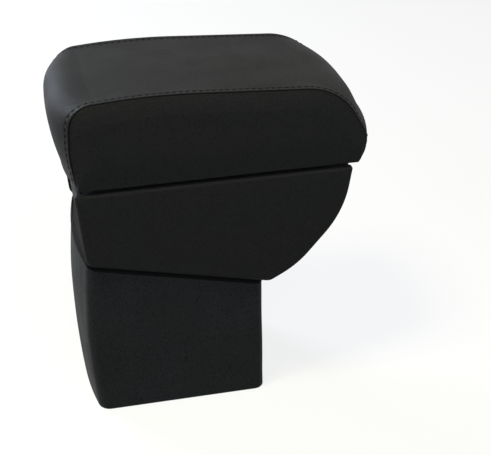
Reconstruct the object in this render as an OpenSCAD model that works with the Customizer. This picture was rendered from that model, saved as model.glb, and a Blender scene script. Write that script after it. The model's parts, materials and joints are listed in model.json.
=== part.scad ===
// Car centre armrest: a padded lid on a piano hinge, over a storage box on a column.
// Millimetres. +X points to the front of the car, +Y to its left and +Z up. The origin is
// the centre of the four fixing holes, on the face that the armrest stands on.
// Side outlines are drawn as [x, z] from the rear heel of the lid's flat underside.

/* [Lid] */
// Length of the lid's flat underside
lid_len = 240.5; // [210:0.5:290]
// Width of the lid and of the box, over their side panels
lid_w = 155; // [140:1:190]
// Height of the lid at its crown
lid_h = 80; // [66:1:100]
// How far the rear end leans out past the heel
lid_rear_out = 4.6; // [2:0.2:7]
// Radius of the rear top edge
lid_rear_r = 22; // [17:1:26]
// Radius of the front top edge
lid_front_r = 50; // [38:1:56]
// How far the nose reaches past the underside
lid_nose_out = 16.7; // [8:0.1:19]
// Radius of the nose
lid_nose_r = 27; // [20:1:30]
// Bulge of the padded ends at mid width
end_bulge = 14.4; // [2:0.2:18]
// Height at which that bulge is full
bulge_h = 55; // [35:1:75]
// Share of the bulge that the ends have just above the underside
bulge_low = 0.6; // [0.3:0.05:1]
// Height within which that share begins
bulge_start = 6; // [4:0.5:14]
// Height over which the side roll fades in
fade_h = 29; // [15:1:35]
// Distance of each seam from the lid's side face
seam_in = 2; // [1.6:0.1:6]
// How far the side padding rolls inward below the seam
side_roll = 11; // [5:1:14]
// Width of the covering turned in under the lid
turn_in = 26; // [22:1:28]

/* [Box] */
// Gap between the lid and the side panels
panel_gap = 3; // [2.6:0.1:5]
// How far the panels' rear edge stands behind the lid's heel
box_rear = 4; // [2:0.5:6]
// Distance from the lid's heel to the box's front edge
box_front = 241; // [220:1:280]
// Height of the box at its rear edge
box_h_rear = 71.5; // [60:0.5:85]
// Forward lean of the rear edge over that height
rear_lean = 5.9; // [2:0.1:9]
// Height of the box at its belly
box_h_belly = 108.6; // [98:0.2:125]
// Thickness of a covered side panel
panel_t = 6; // [5:0.5:9]
// Radius of the side panels' wrapped outer edge
panel_edge_r = 2.4; // [1:0.1:3]
// How far the side panels stand proud of the curved front
panel_reveal = 2; // [1:0.2:4]
// Thickness of the rear, floor and front boards
carcass_t = 5; // [4:0.5:8]
// Wall of the moulded bin
bin_t = 2; // [1.5:0.1:3]
// Thickness of the felt mat
mat_t = 2; // [1:0.5:4]
// Thickness of the rim frame
rim_t = 2.4; // [2:0.2:4]
// Width of the rim frame's front ledge
front_ledge = 18; // [16:1:24]

/* [Column] */
// Height of the lid's underside above the foot
seat_h = 228; // [190:1:280]
// Distance from the lid's heel to the centre of the foot
heel_to_foot = 78; // [72:1:86]
// Depth of the column from rear to front
column_d = 160; // [146:1:160]
// Gap between the column and each side panel
column_gap = 0; // [0:0.5:8]
// How far the column's rear edge curves in at its ends
column_waist = 4.8; // [0:0.2:8]
// Bulge of the column's rear face at mid width
column_bulge = 7.3; // [0:0.1:10]
// Radius of the column's upright edges
column_edge_r = 9; // [6:0.5:14]
// Wall of the column's moulding
column_t = 3; // [2.4:0.2:5]

/* [Foot] */
// Thickness of the steel foot plate
foot_t = 3; // [2:0.5:6]
// Spacing of the fixing holes along X
hole_x = 100; // [70:1:110]
// Spacing of the fixing holes along Y
hole_y = 90; // [60:1:100]
// Diameter of the fixing holes
hole_d = 6.6; // [5:0.1:9]

/* [Hinge and catch] */
// Length of the piano hinge
hinge_len = 100; // [70:1:120]
// Number of hinge knuckles, an odd number
knuckles = 9; // [5:2:13]
// Outer radius of the knuckles
barrel_r = 2.3; // [2.1:0.1:2.6]
// Radius of the hinge pin
pin_r = 1; // [0.8:0.1:1.2]
// Thickness of the hinge leaves
leaf_t = 1.2; // [0.8:0.1:1.4]
// Width of each leaf from the pin's axis
leaf_w = 19; // [16:1:22]
// Length of the magnet in the catch
magnet_l = 30; // [20:1:40]
// Width of the magnet in the catch
magnet_w = 6; // [4:0.5:8]

/* [Materials] */
// Thickness of the leatherette
hide_t = 1.2; // [0.8:0.1:1.6]
// Thickness of the lid's board
board_t = 8; // [6:0.5:12]
// Thickness of the lid's liner
liner_t = 1.5; // [1:0.1:1.8]

/* [Hidden] */
$fn = 48;
hide_black = "#242527";
moulded_black = "#2b2b2d";
felt_grey = "#3a3a3c";
steel = "#a9acb0";
foam_yellow = "#d8cfa4";
ply = "#b89468";
run_gap = 0.05; // radial clearance of the lid's knuckles on the pin
end_gap = 0.3; // gap between neighbouring knuckles
soft_gap = 0.3; // gap between soft or resting pieces on different bodies
cut = 1; // how far cutting solids run past a face

// Lid outline, clockwise seen from the right side: x, z, radius, steps
lid_corners = [
    [0, 0, 2, 2],
    [-lid_rear_out, 0.37 * lid_h, 128, 4],
    [-1.8, lid_h - 4.3, lid_rear_r, 8],
    [0.27 * lid_len, lid_h + 1, 600, 6],
    [lid_len - 13, lid_h - 9.3, lid_front_r, 9],
    [lid_len + lid_nose_out, 0.2 * lid_h, lid_nose_r, 9],
    [lid_len, 0, 2, 2]
];
seam_y = lid_w / 2 - seam_in;
bulge_power = 3.25;
lid_strips = 16; // lengthwise facets over the width of the top cover
roll_steps = 4;

// Box outline in the same order
panel_top = -panel_gap;
front_step = 7.7; // how far the front edge leans in down to the curve's upper corner
curve_z = -0.43 * box_h_belly;
belly_x = box_front - 76.3;
box_corners = [
    [rear_lean - box_rear, -box_h_rear, 9, 4],
    [-box_rear, panel_top, 2.5, 3],
    [box_front, panel_top, 2.5, 3],
    [box_front - front_step, curve_z, 93, 8],
    [box_front - 50.7, 13.4 - box_h_belly, 86, 8],
    [belly_x, -box_h_belly, 10, 3]
];
box_half = lid_w / 2;
inner_half = box_half - panel_t;
core_in = panel_reveal; // depth of each layer's outer face inside the panel outline
board_in = core_in + hide_t;
bin_in = board_in + carcass_t;
hollow_in = bin_in + bin_t;

// The floor line, from the rear bottom corner to the belly
floor_a = [box_corners[0][0], box_corners[0][1]];
floor_b = [box_corners[5][0], box_corners[5][1]];
floor_slope = atan2(floor_b[1] - floor_a[1], floor_b[0] - floor_a[0]);
function floor_z(x, depth) = floor_a[1] + (x - floor_a[0]) * tan(floor_slope) + depth / cos(floor_slope);

// The rear line of the box at a depth inside the panel outline
rear_slope = rear_lean / (box_h_rear - panel_gap);
function rear_x(z, depth) = -box_rear + (panel_top - z) * rear_slope
    + depth * sqrt(1 + rear_slope * rear_slope);

// The front line of the box above its curve, the same way
front_slope = front_step / (panel_top - curve_z);
function front_x(z, depth) = box_front - (panel_top - z) * front_slope
    - depth * sqrt(1 + front_slope * front_slope);

// The box outline with its top moved up along both lines, so that a profile cut with it is open
raise = 30;
raised_corners = [for (c = box_corners) c[1] != panel_top ? c
    : [c[0] < 0 ? rear_x(panel_top + raise, 0) : front_x(panel_top + raise, 0), panel_top + raise, 0.3, 1]];

// Hinge: the lid's leaf lies on the lid, the box's leaf lies on the rim frame
axis_z = -barrel_r;
rim_top = -2 * barrel_r;
fold_gap = 0.1; // from the covering's fold over the boards up to the hinge
board_top = rim_top - fold_gap - hide_t;
front_board_top = panel_top - fold_gap - hide_t;
axis_x = rear_x(rim_top, core_in) + barrel_r;
rim_under = rim_top - rim_t;
rail_front = axis_x + leaf_w;
rail_h = 14;
bin_rear = rail_front; // outer face of the bin's rear wall
front_in = front_x(rim_under, hollow_in);
rim_over = 2; // how far the rim frame hangs over the bin's walls
catch_x = front_in - front_ledge / 2;
leaf_screw = 0.62 * leaf_w;
lid_screw_l = 8;
rail_screw_l = 12;
lid_screw_ys = [-0.43, -0.17, 0.11, 0.37] * hinge_len;
box_screw_ys = [-0.37, -0.11, 0.17, 0.43] * hinge_len;
knuckle_pitch = hinge_len / knuckles;

// Liner and catch
liner_rear = rail_front + 2;
liner_front = lid_len - 8;
liner_half = lid_w / 2 - 8;
liner_r = 10;
liner_screw_in = 9;
liner_screw_spots = [
    for (x = [liner_rear + liner_screw_in, liner_front - liner_screw_in], s = [-1, 1])
        [x, s * (liner_half - liner_screw_in)]
];
strike_t = 1;
strike_w = 12;
strike_screw_y = magnet_l / 2 + 6;
strike_half = strike_screw_y + 5;
strike_spots = [for (s = [-1, 1]) [catch_x, s * strike_screw_y]];
catch_top = -liner_t - strike_t - soft_gap;
housing_wall = 2;
magnet_h = 8;
lip_w = 1.2;
lip_t = 0.8;
buffer_r = 4;
stem_r = 1.6;

// Board in the lid
board_end = 6;
board_side = 9;
thread_depth = lid_screw_l;

// Column, in heights from the lid's underside
column_half = inner_half - column_gap;
column_rear = heel_to_foot - column_d / 2 + 2;
column_front = column_rear + column_d;
column_levels = 6;
rear_facets = 8;
hem = 0.6; // the covering ends this far above the foot
column_cap_t = 4;
flange_t = 3;
flange_w = 10;
plate_gap = 3; // from the foot plate's edge to the column's wall
plate_x = heel_to_foot - column_rear - column_waist - hide_t - column_t - plate_gap;
plate_y = column_half - hide_t - column_t - plate_gap;
column_spots = [for (x = [0.26, 0.78] * column_d, y = [-0.62, 0.62] * column_half) [column_rear + x, y]];
column_screw_r = 2;
column_head_r = 4.2;
boss_r = 6;
boss_l = 14;
foot_screw_r = 1.6;
foot_head_r = 3;
foot_screw_spots = [for (x = [5 - plate_x, plate_x - 5], y = [-0.4, 0.4] * column_half) [x, y]];

function unit(v) = v / norm(v);
function xz(p) = [p[0], p[1]];

// Points of the arc that rounds corner i, each as [x, z, normal x, normal z]
function corner_arc(c, i) =
    let (
        p = xz(c[i]),
        back = xz(c[(i + len(c) - 1) % len(c)]) - p,
        ahead = xz(c[(i + 1) % len(c)]) - p,
        a = unit(back),
        b = unit(ahead),
        half = acos(a * b) / 2,
        r = min(c[i][2], 0.98 * min(norm(back), norm(ahead)) * tan(half)),
        centre = p + unit(a + b) * r / sin(half),
        first = p + a * r / tan(half) - centre,
        start = atan2(first[1], first[0]),
        n = c[i][3]
    )
    [for (k = [0:n]) let (t = start - (180 - 2 * half) * k / n)
        [centre[0] + r * cos(t), centre[1] + r * sin(t), cos(t), sin(t)]];

function outline(c) = [for (i = [0:len(c) - 1]) each corner_arc(c, i)];

// The same corners moved inward by d, with their radii reduced to suit
function shrink(c, d) = [for (i = [0:len(c) - 1])
    let (
        p = xz(c[i]),
        a = unit(xz(c[(i + len(c) - 1) % len(c)]) - p),
        b = unit(xz(c[(i + 1) % len(c)]) - p),
        half = acos(a * b) / 2,
        q = p + unit(a + b) * d / sin(half)
    )
    [q[0], q[1], max(c[i][2] - d, 0.3), c[i][3]]];

function smooth(t) = let (s = min(max(t, 0), 1)) s * s * (3 - 2 * s);

// Lid surface at width y: the outline bulges with the ends, then rolls in by roll and depth
lid_path = outline(lid_corners);
function lid_ring(y, roll, depth) =
    let (k = 1 - pow(min(abs(y) / seam_y, 1), bulge_power))
    [for (p = lid_path)
        let (
            full = smooth(p[1] / bulge_start) * (bulge_low + (1 - bulge_low) * smooth(p[1] / bulge_h)),
            out = end_bulge * p[2] * p[2] * k * full - roll * smooth(p[1] / fade_h) - depth
        )
        [p[0] + out * p[2], y, p[1] + out * p[3]]];

// End face of a loft over n points from the first index. A band's ends are strips, because its
// points run out along one side and back along the other.
function end_face(n, first, band) = !band ? [[for (i = [0:n - 1]) first + i]]
    : [for (i = [0:n / 2 - 2]) each [
        [first + i, first + i + 1, first + n - 2 - i],
        [first + i, first + n - 2 - i, first + n - 1 - i]
    ]];

function reversed(faces) = [for (f = faces) [for (i = [len(f) - 1:-1:0]) f[i]]];

// Solid between rings of points; closed joins the last ring to the first
module loft(rings, closed = false, band = false) {
    n = len(rings[0]);
    m = len(rings);
    points = [for (r = rings) each r];
    sides = [for (j = [0:closed ? m - 1 : m - 2], i = [0:n - 1])
        let (
            a = j * n + i,
            b = j * n + (i + 1) % n,
            c = ((j + 1) % m) * n + i,
            d = ((j + 1) % m) * n + (i + 1) % n
        )
        each norm(points[a] - points[d]) < norm(points[b] - points[c])
            ? [[a, c, d], [a, d, b]]
            : [[a, c, b], [b, c, d]]];
    ends = closed ? [] : concat(end_face(n, 0, band), reversed(end_face(n, (m - 1) * n, band)));
    polyhedron(points, concat(ends, sides), convexity = 6);
}

// Places what is drawn from the lid's heel
module at_heel() {
    translate([-heel_to_foot, 0, seat_h]) children();
}

// Extrudes a side outline across the width
module across(y0, y1) {
    translate([0, y1, 0]) rotate([90, 0, 0]) linear_extrude(y1 - y0) children();
}

module profile(c) {
    polygon([for (p = outline(c)) xz(p)]);
}

// Everything of a side outline below height z, from x0 to x1
module below(z, x0 = -100, x1 = 400) {
    translate([x0, z - 300]) square([x1 - x0, 300]);
}

// Places children on the floor line at x, turned so that Z is square to the floor
module on_floor(x, y) {
    translate([x, y, floor_z(x, core_in)]) rotate([0, -floor_slope, 0]) children();
}

// Pan-headed screw pointing up, with the underside of its head at z = 0
module pan_screw(r, head_r, head_h, l) {
    rotate_extrude() polygon([
        [0, -head_h], [0.7 * head_r, -head_h], [head_r, -0.5 * head_h], [head_r, 0],
        [r, 0], [r, l], [0, l]
    ]);
}

// Countersunk screw pointing up, with its flat head's face at z = 0
module flat_screw(r, head_r, head_h, l) {
    rotate_extrude() polygon([[0, 0], [head_r, 0], [r, head_h], [r, l], [0, l]]);
}

// Upright holes at [x, y] spots, from z0 to z1
module holes(spots, r, z0, z1) {
    for (p = spots) translate([p[0], p[1], z0]) cylinder(h = z1 - z0, r = r);
}

// Rounded rectangle from x0 to x1 and as far to each side of the middle
module round_plate(x0, x1, half, r) {
    translate([x0 + r, -half]) square([x1 - x0 - 2 * r, 2 * half]);
    translate([x0, r - half]) square([x1 - x0, 2 * half - 2 * r]);
    for (x = [x0 + r, x1 - r], s = [-1, 1]) translate([x, s * (half - r)]) circle(r);
}

// Lid

lid_hinge_spots = [for (y = lid_screw_ys) [axis_x + leaf_screw, y]];
box_hinge_spots = [for (y = box_screw_ys) [axis_x + leaf_screw, y]];

function strip_y(j) = seam_y * sin(180 * j / lid_strips - 90);

function top_profile(y) =
    let (
        outer = lid_ring(y, 0, 0),
        inner = lid_ring(y, 0, hide_t),
        a = turn_in,
        b = lid_len - turn_in
    )
    concat(
        [[a, y, 0]],
        outer,
        [[b, y, 0], [b, y, hide_t]],
        [for (i = [len(inner) - 1:-1:0]) inner[i]],
        [[a, y, hide_t]]
    );

module lid_cover_top() {
    color(hide_black) at_heel() difference() {
        loft([for (j = [0:lid_strips]) top_profile(strip_y(j))], band = true);
        holes(concat(lid_hinge_spots, liner_screw_spots), 1.3, -cut, hide_t + cut);
        holes(strike_spots, 1, -cut, hide_t + cut);
    }
}

function side_ring(t, depth) =
    lid_ring(seam_y + (seam_in - depth) * sin(t), side_roll * (1 - cos(t)), depth);

module lid_cover_side() {
    loft(concat(
        [for (k = [roll_steps:-1:0]) side_ring(90 * k / roll_steps, hide_t)],
        [for (k = [0:roll_steps]) side_ring(90 * k / roll_steps, 0)]
    ));
}

module lid_cover_left() {
    color(hide_black) at_heel() lid_cover_side();
}

module lid_cover_right() {
    color(hide_black) at_heel() mirror([0, 1, 0]) lid_cover_side();
}

module board_plan(z0, z1) {
    translate([board_end, board_side - lid_w / 2, z0])
        cube([lid_len - 2 * board_end, lid_w - 2 * board_side, z1 - z0]);
}

// Fills the covering, with a pocket in which the board lies
module lid_foam() {
    left = [for (k = [1:roll_steps]) side_ring(90 * k / roll_steps, hide_t)];
    right = [for (k = [roll_steps - 1:-1:0]) [for (p = left[k]) [p[0], -p[1], p[2]]]];
    middle = [for (j = [0:lid_strips]) lid_ring(strip_y(j), 0, hide_t)];
    color(foam_yellow) at_heel() difference() {
        loft(concat(right, middle, left));
        board_plan(-cut, hide_t + board_t);
    }
}

module lid_board() {
    color(ply) at_heel() difference() {
        board_plan(hide_t, hide_t + board_t);
        holes(concat(lid_hinge_spots, liner_screw_spots), 1.3, -cut, thread_depth);
        holes(strike_spots, 1, -cut, thread_depth);
    }
}

// Moulded tray that closes the lid's underside
module lid_liner() {
    color(moulded_black) at_heel() difference() {
        translate([0, 0, -liner_t]) linear_extrude(liner_t)
            round_plate(liner_rear, liner_front, liner_half, liner_r);
        holes(liner_screw_spots, 1.3, -liner_t - cut, cut);
        holes(strike_spots, 1, -liner_t - cut, cut);
    }
}

module strike_plate() {
    color(steel) at_heel() difference() {
        translate([catch_x - strike_w / 2, -strike_half, -liner_t - strike_t])
            cube([strike_w, 2 * strike_half, strike_t]);
        holes(strike_spots, 1, -liner_t - strike_t - cut, cut);
    }
}

module liner_screws() {
    color(steel) at_heel() {
        for (p = liner_screw_spots) translate([p[0], p[1], -liner_t]) pan_screw(1.3, 2.8, 1, lid_screw_l);
        for (p = strike_spots) translate([p[0], p[1], -liner_t - strike_t])
            pan_screw(1, 2, 0.6, lid_screw_l + strike_t);
    }
}

// Hinge

// Cylinder along the pin over knuckle k, short of the knuckle's ends by gap
module knuckle(k, gap, r) {
    translate([0, (k + 1) * knuckle_pitch - hinge_len / 2 - gap, 0]) rotate([90, 0, 0])
        cylinder(h = knuckle_pitch - 2 * gap, r = r);
}

// Leaf that lies above the pin, with every second knuckle from the first
module leaf(first, bore_r, spots) {
    difference() {
        union() {
            translate([0, -hinge_len / 2, barrel_r - leaf_t]) cube([leaf_w, hinge_len, leaf_t]);
            for (k = [first:2:knuckles - 1]) knuckle(k, end_gap / 2, barrel_r);
        }
        for (k = [1 - first:2:knuckles - 1]) knuckle(k, -end_gap / 2, barrel_r + 0.4);
        for (k = [first:2:knuckles - 1]) knuckle(k, -end_gap, bore_r);
        holes(spots, 1.3, barrel_r - leaf_t - cut, barrel_r + cut);
    }
}

module hinge_leaf_lid() {
    color(steel) at_heel() translate([axis_x, 0, axis_z])
        leaf(1, pin_r + run_gap, [for (y = lid_screw_ys) [leaf_screw, y]]);
}

module hinge_leaf_box() {
    color(steel) at_heel() translate([axis_x, 0, axis_z]) mirror([0, 0, 1])
        leaf(0, pin_r, [for (y = box_screw_ys) [leaf_screw, y]]);
}

module hinge_pin() {
    color(steel) at_heel() translate([axis_x, hinge_len / 2, axis_z]) rotate([90, 0, 0])
        cylinder(h = hinge_len, r = pin_r);
}

module hinge_screws_lid() {
    color(steel) at_heel() for (p = lid_hinge_spots) translate([p[0], p[1], -leaf_t])
        pan_screw(1.3, 2.6, 0.7, lid_screw_l);
}

module hinge_screws_box() {
    color(steel) at_heel() for (p = box_hinge_spots) translate([p[0], p[1], rim_top + leaf_t])
        mirror([0, 0, 1]) pan_screw(1.3, 2.6, 0.7, rail_screw_l);
}

// Box

module side_board() {
    across(inner_half, box_half - hide_t) profile(shrink(box_corners, hide_t));
}

// Covering of a side board, wrapped over its outer edge
module side_cover() {
    loft(concat(
        [panel_ring(hide_t, box_half - hide_t), panel_ring(hide_t, inner_half)],
        [panel_ring(0, inner_half)],
        [for (t = [0:30:90])
            panel_ring(panel_edge_r * (1 - cos(t)), box_half - panel_edge_r * (1 - sin(t)))]
    ));
}

function panel_ring(depth, y) = [for (p = outline(shrink(box_corners, depth))) [p[0], y, p[1]]];

module side_board_left() {
    color(ply) at_heel() side_board();
}

module side_board_right() {
    color(ply) at_heel() mirror([0, 1, 0]) side_board();
}

module side_cover_left() {
    color(hide_black) at_heel() side_cover();
}

module side_cover_right() {
    color(hide_black) at_heel() mirror([0, 1, 0]) side_cover();
}

// Layer of the box between two depths, open at the top, over part of its length
module layer(d0, d1, top = board_top, x0 = -100, x1 = 400) {
    intersection() {
        difference() {
            profile(shrink(raised_corners, d0));
            profile(shrink(raised_corners, d1));
        }
        below(top, x0, x1);
    }
}

rear_split = rear_x(-box_h_rear, bin_in) + 2;
front_split = belly_x - carcass_t;

module rear_board() {
    color(ply) at_heel() across(-inner_half, inner_half)
        layer(board_in, bin_in, board_top, -100, rear_split);
}

module floor_board() {
    color(ply) at_heel() difference() {
        across(-inner_half, inner_half) layer(board_in, bin_in, board_top, rear_split, front_split);
        column_screw_holes();
    }
}

module front_board() {
    color(ply) at_heel() across(-inner_half, inner_half)
        layer(board_in, bin_in, front_board_top, front_split, 400);
}

module fold(top, x0, x1) {
    intersection() {
        layer(core_in, bin_in, top + hide_t, x0, x1);
        translate([x0, top]) square([x1 - x0, hide_t]);
    }
}

// Covering round the boards, folded over their top edges
module box_cover() {
    color(hide_black) at_heel() difference() {
        across(-inner_half, inner_half) {
            layer(core_in, board_in);
            layer(core_in, board_in, front_board_top, front_split, 400);
            fold(board_top, -100, front_split);
            fold(front_board_top, front_split, 400);
        }
        column_screw_holes();
    }
}

// Batten behind the bin that the hinge and the rim frame are screwed to
module hinge_rail() {
    color(ply) at_heel() difference() {
        across(-inner_half, inner_half) intersection() {
            profile(shrink(raised_corners, bin_in));
            translate([-100, rim_under - rail_h]) square([100 + rail_front, rail_h]);
        }
        holes(box_hinge_spots, 1.3, rim_top + leaf_t - rail_screw_l, rim_under + cut);
    }
}

module storage_bin() {
    color(moulded_black) at_heel() difference() {
        across(-inner_half, inner_half) intersection() {
            profile(shrink(raised_corners, bin_in));
            below(rim_under, bin_rear);
        }
        across(bin_t - inner_half, inner_half - bin_t) intersection() {
            profile(shrink(raised_corners, hollow_in));
            translate([bin_rear + bin_t, -200]) square([400, 400]);
        }
        for (p = column_spots) on_floor(p[0], p[1]) translate([0, 0, carcass_t + hide_t])
            cylinder(h = bin_t, r1 = column_screw_r, r2 = column_head_r);
    }
}

module bin_mat() {
    half = inner_half - bin_t - 0.5;
    color(felt_grey) at_heel() across(-half, half)
        layer(hollow_in, hollow_in + mat_t, rim_under, bin_rear + bin_t + 0.5, front_split);
}

// Trim frame round the opening, with ledges for the hinge and for the catch
module rim_frame() {
    rim_rear = rear_x(rim_under, bin_in);
    rim_front = front_x(rim_under, bin_in);
    rear_ledge = bin_rear + bin_t + rim_over;
    half = inner_half - bin_t - rim_over;
    color(moulded_black) at_heel() difference() {
        translate([rim_rear, -inner_half, rim_under]) cube([rim_front - rim_rear, 2 * inner_half, rim_t]);
        translate([0, 0, rim_under - cut]) linear_extrude(rim_t + 2 * cut)
            round_plate(rear_ledge, front_in - front_ledge, half, 8);
        holes(box_hinge_spots, 1.3, rim_under - cut, rim_top + cut);
        holes(buffer_spots, stem_r, rim_under - cut, rim_top + cut);
        housing_block(0, rim_under - cut, rim_top + cut);
    }
}

module housing_block(grow, z0, z1) {
    w = magnet_w + 2 * housing_wall + 2 * grow;
    l = magnet_l + 2 * housing_wall + 2 * grow;
    translate([catch_x - w / 2, -l / 2, z0]) cube([w, l, z1 - z0]);
}

// Holder that snaps into the front ledge and is open at the top for the magnet
module catch_housing() {
    color(moulded_black) at_heel() difference() {
        union() {
            housing_block(0, catch_top - magnet_h - housing_wall, catch_top);
            housing_block(lip_w, rim_top, rim_top + lip_t);
        }
        housing_block(-housing_wall, catch_top - magnet_h, catch_top + cut);
    }
}

module catch_magnet() {
    color(steel) at_heel() housing_block(-housing_wall, catch_top - magnet_h, catch_top);
}

rear_buffer_x = axis_x + leaf_screw;
buffer_spots = [
    for (s = [-1, 1]) each [
        [rear_buffer_x, s * (hinge_len / 2 + inner_half) / 2],
        [catch_x, s * (strike_half + liner_screw_spots[1][1]) / 2]
    ]
];

// Rubber stops: the rear pair meets the lid itself, the front pair its liner
module lid_buffers() {
    color("#1c1c1e") at_heel() for (p = buffer_spots)
        translate([p[0], p[1], rim_top])
            lid_buffer(-rim_top - soft_gap - (p[0] > rear_buffer_x ? liner_t : 0));
}

module lid_buffer(h) {
    rotate_extrude() polygon([
        [0, -rim_t], [stem_r, -rim_t], [stem_r, 0], [buffer_r, 0],
        [buffer_r, h - 0.8], [buffer_r - 0.8, h], [0, h]
    ]);
}

// Column

// Level of the column seen from above: t runs from its foot (0) to the box's floor (1)
function column_ring(t, depth, z0 = 0, cap = 0) =
    let (
        half = column_half - depth,
        r = max(column_edge_r - depth, 1),
        x0 = column_rear + column_waist * pow(2 * t - 1, 2) + depth,
        x1 = column_front - depth,
        flat = concat(
            column_corner(x1 - r, r - half, r, -90),
            column_corner(x1 - r, half - r, r, 0),
            column_corner(x0 + r, half - r, r, 90),
            [for (k = [1:rear_facets - 1]) [x0, (half - r) * (1 - 2 * k / rear_facets)]],
            column_corner(x0 + r, r - half, r, 180)
        )
    )
    [for (p = flat)
        let (
            x = p[0] < heel_to_foot ? p[0] - column_bulge * (1 - pow(p[1] / half, 2)) : p[0],
            low = z0 - seat_h
        )
        [x, p[1], low + t * (floor_z(x, core_in) - cap / cos(floor_slope) - low)]];

function column_corner(x, y, r, start) = [
    for (a = [start:22.5:start + 90]) [x + r * cos(a), y + r * sin(a)]];

function column_rings(depth, z0 = 0, cap = 0) =
    [for (j = [0:column_levels]) column_ring(j / column_levels, depth, z0, cap)];

module column_cover() {
    outer = column_rings(0);
    inner = column_rings(hide_t);
    color(hide_black) at_heel() difference() {
        loft(concat(outer, [for (j = [column_levels:-1:0]) inner[j]]), closed = true);
        translate([-100, -lid_w, -seat_h - cut]) cube([400, 2 * lid_w, hem + cut]);
    }
}

// Hollow moulding with a sloping cap, four screw bosses and a flange round the foot plate
module column_core() {
    color(moulded_black) at_heel() difference() {
        loft(column_rings(hide_t));
        difference() {
            loft(column_rings(hide_t + column_t, foot_t + flange_t, column_cap_t));
            for (p = column_spots) on_floor(p[0], p[1]) translate([0, 0, -boss_l])
                cylinder(h = boss_l, r = boss_r);
        }
        translate([heel_to_foot, 0, -seat_h]) {
            foot_plan(0, -cut, foot_t);
            foot_plan(flange_w, 0, foot_t + flange_t + cut);
            holes(foot_screw_spots, foot_screw_r, 0, foot_t + flange_t + cut);
        }
        column_screw_holes();
    }
}

// The column's screws from the bin's floor down into the bosses
module column_screw_holes() {
    for (p = column_spots) on_floor(p[0], p[1]) translate([0, 0, 2 - boss_l])
        cylinder(h = boss_l - 2 + hide_t + carcass_t + cut, r = column_screw_r);
}

module column_screws() {
    top = hide_t + carcass_t + bin_t;
    color(steel) at_heel() for (p = column_spots) on_floor(p[0], p[1]) translate([0, 0, top])
        mirror([0, 0, 1]) flat_screw(column_screw_r, column_head_r, bin_t, top + boss_l - 2);
}

// Foot, drawn from its own centre

module foot_plan(inset, z0, z1) {
    translate([inset - plate_x, inset - plate_y, z0])
        cube([2 * (plate_x - inset), 2 * (plate_y - inset), z1 - z0]);
}

module foot_plate() {
    fixings = [for (x = [-0.5, 0.5] * hole_x, y = [-0.5, 0.5] * hole_y) [x, y]];
    color(steel) difference() {
        foot_plan(0, 0, foot_t);
        holes(fixings, hole_d / 2, -cut, foot_t + cut);
        foot_screws_solid();
    }
}

module foot_screws_solid() {
    for (p = foot_screw_spots) translate([p[0], p[1], 0])
        flat_screw(foot_screw_r, foot_head_r, foot_head_r - foot_screw_r, foot_t + flange_t);
}

module foot_screws() {
    color(steel) foot_screws_solid();
}

lid_cover_top();
lid_cover_left();
lid_cover_right();
lid_foam();
lid_board();
lid_liner();
hinge_leaf_lid();
hinge_screws_lid();
strike_plate();
liner_screws();
side_board_left();
side_board_right();
side_cover_left();
side_cover_right();
rear_board();
floor_board();
front_board();
box_cover();
hinge_rail();
storage_bin();
bin_mat();
rim_frame();
hinge_leaf_box();
hinge_pin();
hinge_screws_box();
catch_housing();
catch_magnet();
lid_buffers();
column_core();
column_cover();
column_screws();
foot_plate();
foot_screws();
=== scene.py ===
import json
import math

import bmesh
import bpy
import numpy as np
from bpy.props import FloatProperty, FloatVectorProperty, IntProperty, PointerProperty
from mathutils import Matrix, Vector, noise
from mathutils.kdtree import KDTree


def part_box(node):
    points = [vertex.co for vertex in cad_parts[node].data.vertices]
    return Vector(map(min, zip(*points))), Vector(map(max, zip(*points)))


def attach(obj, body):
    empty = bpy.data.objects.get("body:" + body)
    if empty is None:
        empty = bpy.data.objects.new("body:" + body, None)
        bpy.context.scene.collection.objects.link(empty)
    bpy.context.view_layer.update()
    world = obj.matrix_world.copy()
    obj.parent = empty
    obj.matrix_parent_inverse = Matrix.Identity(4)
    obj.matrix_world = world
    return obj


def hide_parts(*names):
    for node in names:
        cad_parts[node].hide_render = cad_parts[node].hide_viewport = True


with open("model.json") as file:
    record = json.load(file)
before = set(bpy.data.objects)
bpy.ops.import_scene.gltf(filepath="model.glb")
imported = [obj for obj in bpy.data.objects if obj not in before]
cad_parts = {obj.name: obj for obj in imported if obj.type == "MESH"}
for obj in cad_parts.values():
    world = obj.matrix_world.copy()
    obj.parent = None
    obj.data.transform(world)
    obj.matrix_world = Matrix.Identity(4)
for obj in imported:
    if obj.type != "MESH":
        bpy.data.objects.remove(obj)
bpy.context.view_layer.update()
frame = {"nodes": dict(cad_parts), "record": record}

bl_info = {
    "name": "Car centre armrest",
    "version": (1, 0, 0),
    "blender": (4, 5, 0),
    "location": "3D View > Sidebar > Armrest",
    "description": "Builds the upholstery of a car centre armrest with a storage box",
    "category": "Add Mesh",
}

# Shapes are drawn in millimetres from the rear heel of the lid's underside, X to the front
# and Z up, and turned to metres in the frame of the armrest by metres().
BOARD_INSET = 6.0  # how far the lid's board lies in from both ends of the lid's underside
HEEL = (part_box("lid_board")[0].x - BOARD_INSET / 1000, 0.0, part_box("lid_liner")[1].z)

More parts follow.
